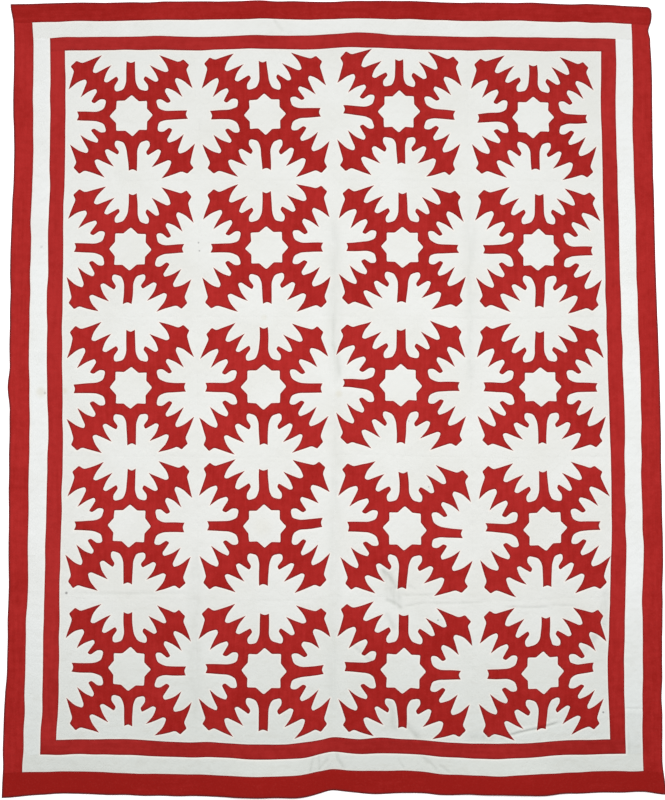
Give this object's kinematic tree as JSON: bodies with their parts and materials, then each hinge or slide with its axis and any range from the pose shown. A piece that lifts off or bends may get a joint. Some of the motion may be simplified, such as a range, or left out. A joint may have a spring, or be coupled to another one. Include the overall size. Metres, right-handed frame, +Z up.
{
  "type": "bedspread",
  "caption": "Red and white cotton bedspread lying flat: leaf motifs with star-shaped centres sewn on white blocks, framed by red, white and red border strips.",
  "frame": {"origin": "centre of the bedspread on the surface that it lies on", "axes": "+X across the bedspread, +Y towards its top edge, +Z up out of its face"},
  "size_m": [1.9816, 2.4232, 0.0122],
  "materials": {
    "white_cotton": "washed white plain-weave cotton, softly quilted",
    "red_cotton": "turkey-red plain-weave cotton, slightly faded"
  },
  "bodies": {
    "root": {"block_1_1": "white_cotton", "block_1_2": "white_cotton", "block_1_3": "white_cotton", "block_1_4": "white_cotton", "block_2_1": "white_cotton", "block_2_2": "white_cotton", "block_2_3": "white_cotton", "block_2_4": "white_cotton", "block_3_1": "white_cotton", "block_3_2": "white_cotton", "block_3_3": "white_cotton", "block_3_4": "white_cotton", "block_4_1": "white_cotton", "block_4_2": "white_cotton", "block_4_3": "white_cotton", "block_4_4": "white_cotton", "block_5_1": "white_cotton", "block_5_2": "white_cotton", "block_5_3": "white_cotton", "block_5_4": "white_cotton", "white_left": "white_cotton", "white_right": "white_cotton", "white_bottom": "white_cotton", "white_top": "white_cotton", "leaf_1_1": "red_cotton", "leaf_1_2": "red_cotton", "leaf_1_3": "red_cotton", "leaf_1_4": "red_cotton", "leaf_2_1": "red_cotton", "leaf_2_2": "red_cotton", "leaf_2_3": "red_cotton", "leaf_2_4": "red_cotton", "leaf_3_1": "red_cotton", "leaf_3_2": "red_cotton", "leaf_3_3": "red_cotton", "leaf_3_4": "red_cotton", "leaf_4_1": "red_cotton", "leaf_4_2": "red_cotton", "leaf_4_3": "red_cotton", "leaf_4_4": "red_cotton", "leaf_5_1": "red_cotton", "leaf_5_2": "red_cotton", "leaf_5_3": "red_cotton", "leaf_5_4": "red_cotton", "inner_red_left": "red_cotton", "inner_red_right": "red_cotton", "inner_red_bottom": "red_cotton", "inner_red_top": "red_cotton", "outer_red_left": "red_cotton", "outer_red_right": "red_cotton", "outer_red_bottom": "red_cotton", "outer_red_top": "red_cotton"}
  },
  "joints": []
}
